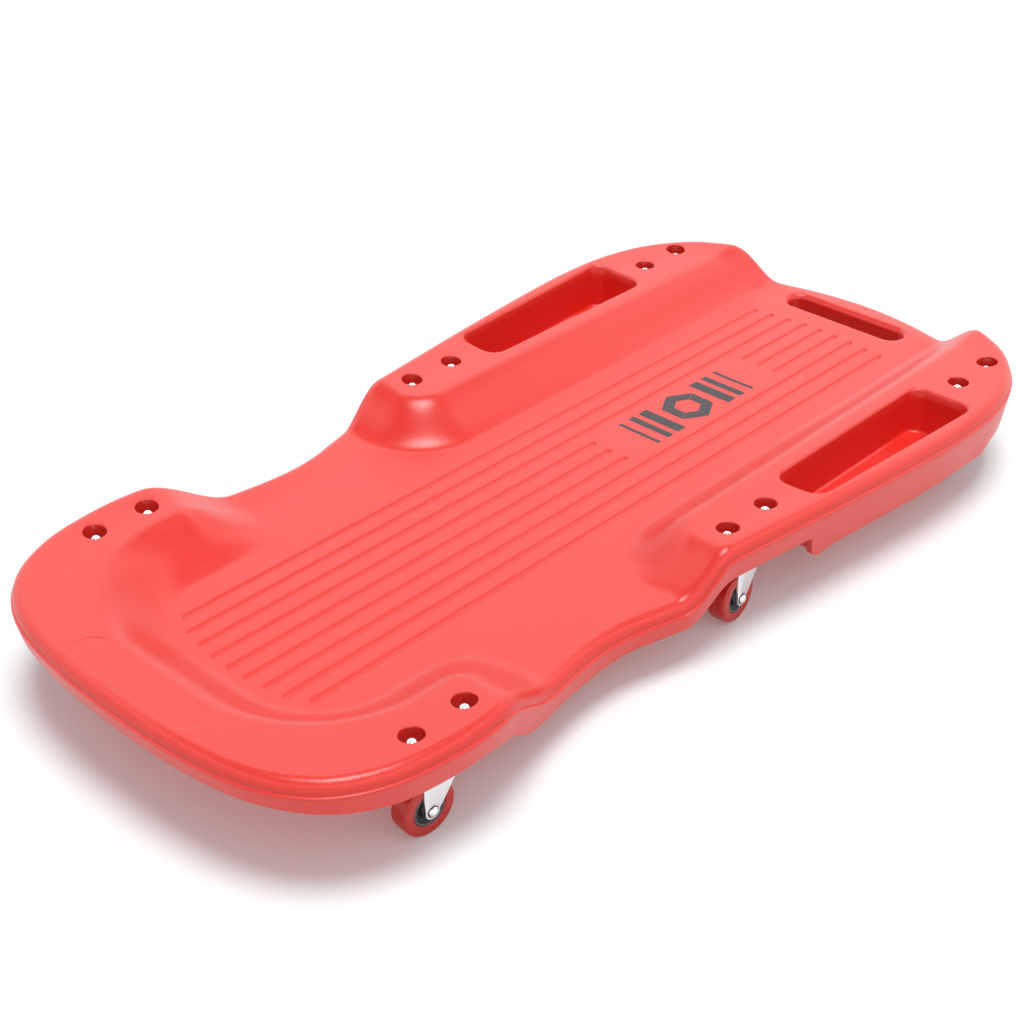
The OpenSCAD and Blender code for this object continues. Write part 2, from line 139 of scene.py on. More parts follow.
def mesh(name, verts, faces, mat, body, replaces=None, smooth=True, normals=None):
    """A piece made from millimetre points, riding on a body and standing for the replaced nodes."""
    me = bpy.data.meshes.new(name)
    me.from_pydata([tuple(v) for v in np.asarray(verts, float) / MM], [], [tuple(f) for f in faces])
    me.validate()
    me.update()
    if smooth:
        me.shade_smooth()
    if normals is not None:
        me.normals_split_custom_set_from_vertices([tuple(v) for v in normals])
    me.materials.append(mat)
    o = bpy.data.objects.new(name, me)
    bpy.context.scene.collection.objects.link(o)
    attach(o, body)
    if replaces:
        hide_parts(*replaces)
    return o


# ---------------------------------------------------------------- the deck's shape

# Heights, widths and radii that part.scad gives the deck; the outline is half of it, from head to foot

DECK_Z = float(np.array(frame["record"]["mounts"][0]["pos_m"])[2]) * MM
RAIL_RISE = 33.0
TROUGH_X, TROUGH_Y, TROUGH_R, TROUGH_REACH = 108, 398, 66.0, 64
RAIL_X, RAIL_Y, RAIL_CORNER, RAIL_REACH = 104, 86, 80.0, 56
LIP_RISE, LIP_REACH = 3.6, 44.0
ROLL, ROLL_DROP, LEDGE = 13.0, 10.5, 1.7
DRAFT, FOOT = 0.22, 7.0
WAIST_Z, PAN_Z, PAD_Z = 31.0, 36.0, 64.0
GROOVE_PITCH, GROOVE_W, GROOVE_DEPTH = 19.9, 6.0, 1.8
GROOVE_R = GROOVE_W / 2 - 0.4
MARK_Y0, MARK_Y1 = 68.0, 301.0
PATCH_X, PATCH_Y, PATCH_R, PATCH_BOW, PATCH_DEPTH = 58, -476.8, 16.6, 1.2, 0.4
CONTROL = np.array([
    (0, -508), (74, -505), (141, -492), (189, -463), (216, -418), (226, -366),
    (226, -320), (217, -283), (204, -235), (197, -180), (199, -140), (208, -103),
    (218, -62), (223, -20), (229, 28), (239, 110), (248, 196), (253.5, 272),
    (251, 338), (235, 396), (203, 443), (160, 471), (112, 487), (60, 502), (0, 508)], float)
CONTROL *= (HALF_X / 253.75, END_Y / 508.0)


def ease(a, b, t):
    """0 before a, 1 after b, smooth between."""
    u = np.clip((t - a) / (b - a), 0, 1)
    return u * u * (3 - 2 * u)


def both(a, b):
    """Two raised shares joined without a crease."""
    return 1 - (1 - a) * (1 - b)


def past_corner(qx, qy):
    """How far a point lies past a corner's two lines, rounded outside the corner."""
    return np.hypot(np.maximum(qx, 0), np.maximum(qy, 0)) + np.minimum(np.maximum(qx, qy), 0)


def top_base(x, y, d):
    """The deck's top without grooves: trough, headrest, side rails and the lip at distance d from the edge."""
    ax = np.abs(x)
    outside = past_corner(ax - TROUGH_X + TROUGH_R, TROUGH_R - TROUGH_Y - y) - TROUGH_R
    head = ease(0, TROUGH_REACH, outside) * (1 - ease(-312, -232, y))
    inside = RAIL_CORNER - past_corner(RAIL_X - ax + RAIL_CORNER, RAIL_CORNER - RAIL_Y - y)
    rail = ease(0, RAIL_REACH, inside)
    fade = ease(440, 500, y) * (1 - ease(90, 150, ax))
    lip = LIP_RISE * (1 - ease(0, LIP_REACH, d)) * (1 - 1.4 * fade)
    return DECK_Z + RAIL_RISE * both(head, rail) + lip


def skirt_z(x, y):
    """The height of the skirt's lower edge: high over the casters, low at the waist."""
    ax = np.abs(x)
    head = 8 * (1 - ease(-500, -400, y))
    front = 1 - 0.2 * ease(-332, -300, y) - 0.8 * ease(-306, -250, y)
    middle = ease(-78, -24, y) * (1 - ease(70, 82, y))
    tray = 4 * ease(92, 110, y)
    back = 11 * ease(338, 352, y)
    corner = 15 * ease(440, 480, y) * (1 - ease(90, 150, ax))
    low = WAIST_Z + (PAN_Z - WAIST_Z) * ease(-190, -130, y)
    return low + (PAD_Z - low) * both(front, middle) + head + tray + back - corner


def draft_at(y):
    """How far the skirt leans in for each millimetre it goes down."""
    return DRAFT - 0.06 * (1 - ease(-500, -400, y)) - 0.1 * ease(300, 360, y)


def under_z(x, y):
    """The underside: a flat pan, raised to pads over the casters and at the head end."""
    ax = np.abs(x)
    middle = ease(-80, -28, y) * (1 - ease(74, 92, y))
    pad = ease(118, 144, ax) * both(both(1 - ease(-304, -262, y), middle), ease(330, 340, y))
    base = PAN_Z + (PAD_Z - PAN_Z) * pad
    end = 1 - ease(-448, -400, y)
    return base + (PAD_Z + 8 - base) * end


def outline(steps):
    """The deck's edge as a closed loop: a smooth curve through CONTROL, and its mirror image."""
    n = len(CONTROL) - 1
    ctrl = np.vstack([CONTROL[1] * (-1, 1), CONTROL, CONTROL[n - 1] * (-1, 1)])
    pts = []
    for i in range(n):
        a, b, c, d = ctrl[i:i + 4]
        for t in np.arange(steps) / steps:
            pts.append(0.5 * (2 * b + (c - a) * t + (2 * a - 5 * b + 4 * c - d) * t ** 2
                              + (3 * b - a - 3 * c + d) * t ** 3))
    pts.append(CONTROL[-1])
    half = np.array(pts)
    half[:, 0] *= HALF_X / half[:, 0].max()
    return np.vstack([half, half[-2:0:-1] * (-1, 1)])


EDGE = outline(11)
tangent = np.roll(EDGE, -1, 0) - np.roll(EDGE, 1, 0)
tangent /= np.linalg.norm(tangent, axis=1)[:, None]
INWARD = np.stack([-tangent[:, 1], tangent[:, 0]], 1)
dense = outline(60)
edge_tree = kdtree.KDTree(len(dense))
for i, p in enumerate(dense):
    edge_tree.insert((p[0], p[1], 0), i)
edge_tree.balance()


def inside_by(xy):
    """Distance to the deck's edge."""
    return np.array([edge_tree.find((x, y, 0))[2] for x, y in xy])


GROOVES = []
for i in range(-4, 5):
    a = abs(i)
    y0 = -396 + [0, 0.4, 2.8, 7.4, 17.5][a]
    y1 = 415 - [0, 0.3, 2.3, 4.6, 7.6][a]
    for lo, hi in ([(y0, MARK_Y0), (MARK_Y1, y1)] if a < 2 else [(y0, y1)]):
        GROOVES.append((i * GROOVE_PITCH, lo, hi))


def groove_distance(x, y):
    """Distance to the nearest groove's outline, below 0 inside it."""
    best = np.full(np.shape(x), 1e9)
    for gx, lo, hi in GROOVES:
        qx = np.abs(x - gx) - (GROOVE_W / 2 - GROOVE_R)
        qy = np.abs(y - (lo + hi) / 2) - ((hi - lo) / 2 - GROOVE_R)
        best = np.minimum(best, past_corner(qx, qy) - GROOVE_R)
    return best


def patch_loop(grow):
    """The shallow half-moon in the headrest: straight towards the deck, curved with the rim."""
    pts = []
    r = PATCH_R + grow
    for a in np.radians(np.append(np.linspace(90, 0, 9)[:-1], np.linspace(0, -80, 9))):
        pts.append((PATCH_X + r * math.cos(a), PATCH_Y + r * math.sin(a)))
    for x in np.linspace(52, 6, 8):
        pts.append((x, PATCH_Y - r - PATCH_BOW * (1 - (x / PATCH_X) ** 2)))
    pts.append((0, PATCH_Y - r - PATCH_BOW))
    right = np.array(pts)
    left = right[-2::-1] * (-1, 1)
    top = [(x, PATCH_Y + r) for x in np.linspace(-50, 50, 15)]
    return np.vstack([right, left, top])


def patch_distance(x, y):
    """Distance to the half-moon's outline, below 0 inside it."""
    ax = np.abs(x)
    low = np.where(ax < PATCH_X, PATCH_BOW * (1 - (ax / PATCH_X) ** 2), 0)
    dy = np.where(y < PATCH_Y, np.maximum(PATCH_Y - y - low, 0), y - PATCH_Y)
    return np.hypot(np.maximum(ax - PATCH_X, 0), dy) - PATCH_R


def height(x, y):
    """The deck's finished top at any place inside its edge."""
    z = top_base(x, y, inside_by(np.stack([x, y], 1)))
    groove = GROOVE_DEPTH * ease(-0.7, 2.0, -groove_distance(x, y))
    return z - groove - PATCH_DEPTH * (1 - ease(-1.3, 1.2, patch_distance(x, y)))


LOOSE_GAP = 2.2
ROW_STEP = 0.87


class Shell:
    """Vertices and faces of one closed skin, built ring by ring."""

    def __init__(self):
        self.v, self.f, self.normal = [], [], {}

    def ring(self, pts):
        start = len(self.v)
        self.v.extend(map(tuple, pts))
        return list(range(start, start + len(pts)))

    def bridge(self, a, b):
        n = len(a)
        for i in range(n):
            j = (i + 1) % n
            self.f.append((a[i], a[j], b[j], b[i]))

    def strip(self, rows, outer=False):
        """Rings joined one to the next; an outer strip faces away from the middle, an opening's towards it."""
        rings = [self.ring(p) for p in rows]
        for a, b in zip(rings, rings[1:]):
            self.bridge(*((b, a) if outer else (a, b)))
        return rings

    def plan(self, ring):
        return np.array([self.v[i][:2] for i in ring])

    def clear(self, pts, outer, holes):
        """The points inside the outer ring and outside every hole."""
        ok = in_loop(pts, self.plan(outer))
        for h in holes:
            ok &= ~in_loop(pts, self.plan(h))
        return ok

    def fill(self, outer, holes, loops, loose, z_of, up, normal_of=None):
        """Triangles between an outer ring and hole rings, with extra loops and loose points on z_of."""
        pts, source, edges = [], [], []
        for r in [outer] + holes:
            s = len(pts)
            pts += [self.v[i][:2] for i in r]
            source += r
            edges += [(s + i, s + (i + 1) % len(r)) for i in range(len(r))]
        fixed = len(pts)
        for lp in loops:
            s = len(pts)
            pts += [tuple(p) for p in lp]
            edges += [(s + i, s + (i + 1) % len(lp)) for i in range(len(lp))]
        tree = kdtree.KDTree(len(pts))
        for i, p in enumerate(pts):
            tree.insert((p[0], p[1], 0), i)
        tree.balance()
        pts += [tuple(p) for p in loose if tree.find((p[0], p[1], 0))[2] > LOOSE_GAP]
        out = delaunay_2d_cdt([Vector(p) for p in pts], edges, [], 0, 1e-5)
        co = np.array([tuple(p) for p in out[0]])
        tri = np.array([f for f in out[2]])
        tri = tri[self.clear(co[tri].mean(1), outer, holes)]
        index = {}
        for i, orig in enumerate(out[3]):
            own = [o for o in orig if o < fixed]
            if own:
                index[i] = source[own[0]]
        new = sorted(set(tri.ravel().tolist()) - set(index))
        xy = co[new]
        z = z_of(xy[:, 0], xy[:, 1])
        start = len(self.v)
        self.v.extend((x, y, h) for (x, y), h in zip(xy, z))
        index.update({k: start + i for i, k in enumerate(new)})
        if normal_of is not None:
            for k, nv in zip(new, normal_of(xy)):
                self.normal[index[k]] = nv
        a, b, c = co[tri[:, 0]], co[tri[:, 1]], co[tri[:, 2]]
        ccw = (b[:, 0] - a[:, 0]) * (c[:, 1] - a[:, 1]) - (b[:, 1] - a[:, 1]) * (c[:, 0] - a[:, 0]) > 0
        for t, positive in zip(tri, ccw):
            f = [index[k] for k in t]
            if len(set(f)) == 3:
                self.f.append(tuple(f) if positive == up else tuple(f[::-1]))


def in_loop(p, loop):
    """Which points lie inside a closed loop."""
    x, y = p[:, 0], p[:, 1]
    hit = np.zeros(len(p), bool)
    a, b = loop, np.roll(loop, -1, 0)
    for (ax, ay), (bx, by) in zip(a, b):
        if ay == by:
            continue
        cross = (ay > y) != (by > y)
        hit ^= cross & (x < (bx - ax) * (y - ay) / (by - ay) + ax)
    return hit


def slope_normal(xy):
    """The top's normals, from its own slope."""
    e = 0.2
    x, y = xy[:, 0], xy[:, 1]
    gx = (height(x + e, y) - height(x - e, y)) / (2 * e)
    gy = (height(x, y + e) - height(x, y - e)) / (2 * e)
    n = np.stack([-gx, -gy, np.ones_like(gx)], 1)
    return n / np.linalg.norm(n, axis=1)[:, None]


def lattice(step):
    """Points in staggered rows over the whole deck."""
    rows = []
    for j, y in enumerate(np.arange(-END_Y, END_Y, step * ROW_STEP)):
        rows += [(x + (j % 2) * step / 2, y) for x in np.arange(-HALF_X, HALF_X, step)]
    return np.array(rows)


def arc_profile(cx, cy, r, a0, a1, n):
    """Points on an arc, from angle a0 to a1 in degrees."""
    return [(cx + r * math.cos(math.radians(a)), cy + r * math.sin(math.radians(a)))
            for a in np.linspace(a0, a1, n)]


def circle(cx, cy, r, n):
    a = np.arange(n) * 2 * math.pi / n
    return np.stack([cx + r * np.cos(a), cy + r * np.sin(a)], 1)


def with_z(xy, z):
    return np.column_stack([xy, np.broadcast_to(z, len(xy))])


# Trays: inner wall, outer wall at the head and foot ends, ends, floor, height of the mouth, corner, edge
TRAY_IN, TRAY_OUT0, TRAY_OUT1 = 172.0, 223.0, 236.0
TRAY_Y0, TRAY_Y1 = 88.0, 319.0
TRAY_FLOOR, TRAY_MOUTH, TRAY_R, TRAY_ROUND = 53.0, 98.0, 14.0, 3.4
TRAY_CORNERS = (((TRAY_OUT1, TRAY_Y1), 0), ((TRAY_IN, TRAY_Y1), 90),
                ((TRAY_IN, TRAY_Y0), 180), ((TRAY_OUT0, TRAY_Y0), 270))


def tray_loop(side, z, grow):
    """The tray's wall line at height z, grown outwards."""
    t = (z - TRAY_FLOOR) / (TRAY_MOUTH - TRAY_FLOOR)
    mid = ((TRAY_IN + TRAY_OUT0) / 2, (TRAY_Y0 + TRAY_Y1) / 2)
    pts = []
    for (cx, cy), a0 in TRAY_CORNERS:
        dx, dy = np.sign(mid[0] - cx), np.sign(mid[1] - cy)
        px, py = cx + dx * (TRAY_R + 3 * (1 - t)), cy + dy * (TRAY_R + 4 * (1 - t))
        r = TRAY_R - (1 - t) + grow
        arc = arc_profile(px, py, r, a0, a0 + 90, 10)
        if pts:
            pts += between(pts[-1], arc[0])
        pts += arc
    pts += between(pts[-1], pts[0])
    loop = np.array(pts)
    return loop if side > 0 else loop[::-1] * (-1, 1)


def between(a, b):
    """Points on a tray's straight wall: few on the short ends, many on the long sides."""
    n = 3 if abs(b[1] - a[1]) < 60 else 34
    return [(a[0] + (b[0] - a[0]) * k / n, a[1] + (b[1] - a[1]) * k / n) for k in range(1, n)]


# The carrying slot: place, length, width, and the rounding of its upper and lower edges
SLOT_Y, SLOT_LEN, SLOT_W, SLOT_TOP_R, SLOT_LOW_R = 459.0, 142.0, 27.0, 6.5, 3


def slot_loop(grow):
    """The slot's outline, grown outwards."""
    r = SLOT_W / 2 + grow
    reach = (SLOT_LEN - SLOT_W) / 2
    pts = []
    for side, a0 in ((1, -math.pi / 2), (-1, math.pi / 2)):
        pts += [(side * reach + r * math.cos(a), SLOT_Y + r * math.sin(a))
                for a in np.linspace(a0, a0 + math.pi, 19)]
        pts += [(x, SLOT_Y + side * r) for x in np.linspace(side * reach, -side * reach, 20)[1:-1]]
    return np.array(pts)


def groove_loop(gx, lo, hi, grow):
    """A groove's outline, grown outwards, with a point about every 9 mm along it."""
    h, r = GROOVE_W / 2 + grow, GROOVE_R + grow
    c = h - r
    top, low = hi - GROOVE_R, lo + GROOVE_R
    ys = np.linspace(top, low, max(4, int((hi - lo) / 9)))
    quarter = [(r * math.cos(a), r * math.sin(a)) for a in curve(4)]
    pts = [(gx + c + u, top + v) for u, v in quarter]
    pts += [(gx - c - u, top + v) for u, v in quarter[::-1]]
    pts += [(gx - h, y) for y in ys[1:-1]]
    pts += [(gx - c - u, low - v) for u, v in quarter]
    pts += [(gx + c + u, low - v) for u, v in quarter[::-1]]
    return pts + [(gx + h, y) for y in ys[::-1][1:-1]]


def curve(n):
    """Angles of a quarter turn."""
    return np.radians(np.linspace(0, 90, n))


def inset(d):
    """The deck's edge moved in by d: one distance, or one for each point."""
    return EDGE + INWARD * np.reshape(d, (-1, 1))


# Under the rolled edge: distance in from the outline and drop, down a narrow ledge to the skirt
LEDGE_PROFILE = ((LEDGE, 0.5), (LEDGE - 0.25, 0.95), (LEDGE - 0.8, 1.25), (0.45, 1.45), (0.12, 1.7), (0, 2.1),
                 (0, 2.6))
SKIRT_EDGE_W, SKIRT_EDGE_H, FOOT_R = 2.4, 2.6, 2
FOOT_CLEAR = 3
PAN_GAP, PAN_REACH = 4, 9


def rim_rows():
    """Rings down the rolled edge, the ledge and the drafted skirt, round its foot and in to the underside."""
    rows = []
    ey = EDGE[:, 1]
    ez = top_base(EDGE[:, 0], ey, 0)
    sk = skirt_z(EDGE[:, 0], ey)
    draft = draft_at(ey) * (ez - ROLL - sk)
    for a in curve(12)[::-1]:
        d = LEDGE + (ROLL - LEDGE) * (1 - math.cos(a))
        p = inset(d)
        rows.append(with_z(p, top_base(p[:, 0], p[:, 1], d) - ROLL_DROP * (1 - math.sin(a))))
    for d, drop in LEDGE_PROFILE:
        rows.append(with_z(inset(d), ez - ROLL_DROP - drop))
    start = rows[-1][:, 2]
    for f in (0.15, 0.4, 0.7, 1.0):
        rows.append(with_z(inset(draft * f), start * (1 - f) + (sk + SKIRT_EDGE_H) * f))
    for a in curve(5)[1:]:
        d = draft + SKIRT_EDGE_W * (1 - math.cos(a))
        rows.append(with_z(inset(d), sk + SKIRT_EDGE_H - SKIRT_EDGE_H * math.sin(a)))
    # The skirt's foot is thinner beside the foot casters, so that their forks swing clear
    inner = draft + FOOT - FOOT_CLEAR * ease(350, 372, ey) * (1 - ease(412, 440, ey))
    for a in curve(4)[:-1]:
        d = inner - FOOT_R + FOOT_R * math.sin(a)
        rows.append(with_z(inset(d), sk + FOOT_R - FOOT_R * math.cos(a)))
    probe = inset(inner + PAN_GAP)
    gate = inner + PAN_GAP + PAN_REACH * ease(0, 6, sk - under_z(probe[:, 0], probe[:, 1]))
    last = inset(gate)
    under_edge = under_z(last[:, 0], last[:, 1])
    for f in (0.25, 0.75):
        d = inner + (gate - inner) * (0.25 + 0.5 * f)
        rows.append(with_z(inset(d), sk + FOOT_R + (under_edge - sk - FOOT_R) * f))
    return rows + [with_z(last, under_edge)]


def lip_rows(loop_at, r, n):
    """Rings that turn down from the top into an opening; loop_at gives its outline, grown."""
    rows = []
    for a in curve(n):
        lp = loop_at(r * (1 - math.sin(a)))
        rows.append(with_z(lp, height(lp[:, 0], lp[:, 1]) - r * (1 - math.cos(a))))
    return rows


RECESS_R, RECESS_LIP, RECESS_TAPER, RECESS_FOOT, RECESS_SIDES = 10.2, 0.7, 0.25, 1.6, 40
SEAT_R, HOLE_R, HOLE_DEPTH = 7.9, 3.3, 6


def recess_rows(bx, by):
    """A bolt recess: rounded lip, wall and foot, the washer's seat, and a short hole for the bolt."""
    floor_z = WASHER_LO[2]
    rows = lip_rows(lambda grow: circle(bx, by, RECESS_R + grow, RECESS_SIDES), RECESS_LIP, 5)
    edge_z = rows[-1][:, 2]
    foot_z = floor_z + RECESS_FOOT
    steps = [(RECESS_R - RECESS_TAPER * f, edge_z * (1 - f) + foot_z * f) for f in (0.1, 0.5, 0.9)]
    steps += [(RECESS_R - RECESS_TAPER - RECESS_FOOT * (1 - math.cos(a)),
               foot_z - RECESS_FOOT * math.sin(a)) for a in curve(4)[1:]]
    steps += [(SEAT_R, floor_z), (HOLE_R, floor_z), (HOLE_R, floor_z - HOLE_DEPTH)]
    return rows + [with_z(circle(bx, by, r, RECESS_SIDES), z) for r, z in steps]


# The height that a tray's outline is taken at, for its edge and for the top of its wall
TRAY_EDGE_Z, TRAY_WALL_Z = 96, 92


def tray_rows(side):
    """A tray from its rounded edge to its floor."""
    foot_z = TRAY_FLOOR + TRAY_ROUND
    rows = lip_rows(lambda grow: tray_loop(side, TRAY_EDGE_Z, grow), TRAY_ROUND, 8)
    edge_z = rows[-1][:, 2]
    for f in (0.03, 0.2, 0.4, 0.6, 0.8, 0.97):
        lp = tray_loop(side, TRAY_WALL_Z * (1 - f) + foot_z * f, 0)
        rows.append(with_z(lp, edge_z * (1 - f) + foot_z * f))
    for a in curve(6):
        lp = tray_loop(side, foot_z, -TRAY_ROUND * (1 - math.cos(a)))
        rows.append(with_z(lp, foot_z - TRAY_ROUND * math.sin(a)))
    return rows + [with_z(tray_loop(side, foot_z, -TRAY_ROUND - 0.8), TRAY_FLOOR)]


def slot_rows():
    """The carrying slot, open right through."""
    rows = lip_rows(slot_loop, SLOT_TOP_R, 9)
    edge_z, low = rows[-1][:, 2], PAN_Z + SLOT_LOW_R
    for f in (0.05, 0.5, 0.95):
        rows.append(with_z(slot_loop(0), edge_z * (1 - f) + low * f))
    for a in curve(5):
        lp = slot_loop(SLOT_LOW_R * (1 - math.cos(a)))
        rows.append(with_z(lp, under_z(lp[:, 0], lp[:, 1]) + SLOT_LOW_R - SLOT_LOW_R * math.sin(a)))
    return rows


# Spacing of the loose points, and the loops that follow the grooves' and the half-moon's outlines
TOP_STEP, UNDER_STEP, FLOOR_STEP = 4.6, 7.5, 9
GROOVE_LOOPS = (0.7, 0.35, 0, -0.35, -0.8, -1.3, -2.0)
PATCH_LOOPS = (1.1, 0.4, -0.4, -1.0, -1.7)


def deck_shell():
    """The whole deck as one skin."""
    s = Shell()
    rim = s.strip(rim_rows(), outer=True)
    openings = []
    for bx, by in bolt_places():
        rings = s.strip(recess_rows(bx, by))
        openings.append(rings[0])
        s.f.append(tuple(rings[-1]))
    for side in (-1, 1):
        rings = s.strip(tray_rows(side))
        openings.append(rings[0])
        pts = lattice(FLOOR_STEP)
        pts = pts[s.clear(pts, rings[-1], [])]
        s.fill(rings[-1], [], [], pts, lambda x, y: np.full(len(x), TRAY_FLOOR), True,
               lambda xy: np.tile((0, 0, 1.0), (len(xy), 1)))
    slot = s.strip(slot_rows())
    openings.append(slot[0])
    loops = [groove_loop(gx, lo, hi, grow) for gx, lo, hi in GROOVES for grow in GROOVE_LOOPS]
    loops += [patch_loop(grow) for grow in PATCH_LOOPS]
    pts = lattice(TOP_STEP)
    s.fill(rim[0], openings, loops, pts[s.clear(pts, rim[0], openings)], height, True, slope_normal)
    pts = lattice(UNDER_STEP)
    s.fill(rim[-1], [slot[-1]], [], pts[s.clear(pts, rim[-1], [slot[-1]])], under_z, False)
    return s


WASHER_SPAN = 18


def bolt_places():
    """Twelve bolt places, read from the washers' own mesh."""
    co = np.array([v.co for v in frame["nodes"]["deck_washers"].data.vertices]) * MM
    found = []
    for p in co:
        for g in found:
            if np.abs(g[0][:2] - p[:2]).max() < WASHER_SPAN:
                g.append(p)
                break
        else:
            found.append([p])
    return [tuple((np.min(g, 0)[:2] + np.max(g, 0)[:2]) / 2) for g in found]


shell = deck_shell()
# The top is held to the CAD deck's box, which it would pass by about 0.1 mm at the headrest
shell.v = [(x, y, min(z, DECK_HI[2])) for x, y, z in shell.v]
normals = np.zeros((len(shell.v), 3))
for i, nv in shell.normal.items():
    normals[i] = nv
mesh("deck_body", shell.v, shell.f, MAT["deck_red"], "root", ["deck"], normals=normals)

# ---------------------------------------------------------------- printed mark: plain bars and a hexagon ring


def slab(name, loops, z, thick, mat, body):
    """Flat plates of one thickness with their tops at z."""
    v, f = [], []
    for lp in loops:
        n, s = len(lp), len(v)
        v += [(x, y, z) for x, y in lp] + [(x, y, z - thick) for x, y in lp]
        f.append(tuple(range(s, s + n)))
        f.append(tuple(range(s + 2 * n - 1, s + n - 1, -1)))
        f += [(s + i, s + n + i, s + n + (i + 1) % n, s + (i + 1) % n) for i in range(n)]
    return mesh(name, v, f, mat, body, smooth=False)


def hex_ring(cy, r_out, r_in, k):
    """One side of a hexagon ring, with a hairline gap to the next."""
    a0, a1 = math.radians(60 * k), math.radians(60 * (k + 1) - 1.2)
    corners = ((r_out, a0), (r_out, a1), (r_in, a1), (r_in, a0))
    return [(r * math.cos(a), cy + r * math.sin(a)) for r, a in corners]


MARK_MID = (MARK_Y0 + MARK_Y1) / 2
MARK_X, MARK_BARS, BAR_Y, BAR_PITCH = 25, (12, 8, 4), 40, 17
MARK_PROUD, MARK_THICK = 0.12, 0.2
mark_loops = [hex_ring(MARK_MID, 27, 14, k) for k in range(6)]
for k, width in enumerate(MARK_BARS):
    for side in (-1, 1):
        y = MARK_MID + side * (BAR_Y + BAR_PITCH * k)
        y0, y1 = y - width / 2, y + width / 2
        mark_loops.append([(-MARK_X, y0), (MARK_X, y0), (MARK_X, y1), (-MARK_X, y1)])
slab("mark_print", mark_loops, DECK_Z + MARK_PROUD, MARK_THICK, MAT["mark"], "root")

# ---------------------------------------------------------------- turned and pressed pieces


def lathe(profile, n=72, axis="z"):
    """A profile of (radius, along) turned about the axis; returns vertices and faces, and adds no end caps: an
    end is closed only where the profile closes or reaches the axis.
    """
    v, f = [], []
    m = len(profile)
    for i in range(n):
        a = 2 * math.pi * i / n
        for r, h in profile:
            p = (r * math.cos(a), r * math.sin(a), h)
            v.append(p if axis == "z" else (p[2], p[0], p[1]))
    for i in range(n):
        for k in range(m - 1):
            a, b = i * m + k, ((i + 1) % n) * m + k
            f.append((a, b, b + 1, a + 1))
    return v, f


def placed(v, c, yaw, pivot):
    """Points of one caster moved to where it stands, turned by yaw about its kingpin."""
    ca, sa = math.cos(yaw), math.sin(yaw)
    v = np.asarray(v, float)
    return np.column_stack([c[0] + v[:, 0] * ca - v[:, 1] * sa, c[1] + v[:, 0] * sa + v[:, 1] * ca,
                            v[:, 2] + pivot])


def bevelled(o, width):
    m = o.modifiers.new("soft_edges", "BEVEL")
    m.width = width / MM
    m.segments = 2
    m.limit_method = "ANGLE"
    m.angle_limit = math.radians(35)
    m.harden_normals = True


WHEEL_R = SPIN[CASTERS[0]]["pos_m"][2] * MM
HALF_W = 9.1
HUB_R = 15.0
TYRE = ([(HUB_R + 0.05, -HALF_W + 1.4), (HUB_R + 0.7, -HALF_W + 0.3), (HUB_R + 1.6, -HALF_W)]
        + arc_profile(WHEEL_R - 3, -HALF_W + 3, 3, -90, -8, 7)
        + [(WHEEL_R, -2.5), (WHEEL_R, -0.35), (WHEEL_R - 0.25, 0), (WHEEL_R, 0.35), (WHEEL_R, 2.5)]
        + arc_profile(WHEEL_R - 3, HALF_W - 3, 3, 8, 90, 7)
        + [(HUB_R + 1.6, HALF_W), (HUB_R + 0.7, HALF_W - 0.3), (HUB_R + 0.05, HALF_W - 1.4)])
TYRE.append(TYRE[0])
HUB = [(4.68, -9.2), (7.0, -9.2), (7.5, -8.8), (7.7, -5.2), (8.4, -4.2), (12.2, -4.0), (12.8, -5.0),
       (13.0, -7.4)]
HUB = HUB + [(r, -h) for r, h in HUB[::-1]]
HUB.append(HUB[0])
LIP = [(13.0, -7.4), (13.2, -8.2), (14.6, -8.3), (HUB_R, -7.6)]
LIP = LIP + [(r, -h) for r, h in LIP[::-1]] + [(12.9, 0), LIP[0]]
# The fork: outer face of its legs, steel, half width at the axle, and how far the legs' tops reach back
LEG_OUT, STEEL, LEG_R, LEG_TOP = 12.0, 2.0, 7.0, 11.0
LEG_BACK_R = 6.6
FOLD, FOLD_Y0, FOLD_Y1, FOLD_Z0, FOLD_Z1 = 1.1, 1.0, 4.2, 3, 12
LEG_COLS = (0, 0.1, 0.2, 0.26, 0.34, 0.5, 0.75, 1)
WEB_BACK = 8
CROWN = [(4.1, 0), (15.2, 0), (15.9, 0.3), (16, 0.9), (16, 3.4), (15.7, 3.9), (15.2, 4), (15, 3.6), (15, 2.2),
         (14.8, 2), (4.1, 2), (4.1, 0)]
# The axle bolt: its domed head, its thread, and the dark ring under the head, which is painted shade where the
# head meets the leg
HEAD_GAP, SHANK_R, THREAD, THREAD_PITCH, THREAD_END = 0.2, 3.0, 0.25, 0.5, 6.5
DOME = [(0, 3.0), (1.6, 2.85), (3.0, 2.3), (4.0, 1.3), (4.4, 0.5), (4.4, 0.05), (3.0, 0)]
SHADE_RING = [(4.3, 0.02), (5.1, 0.02), (5.2, 0.25), (4.3, 0.3), (4.3, 0.02)]


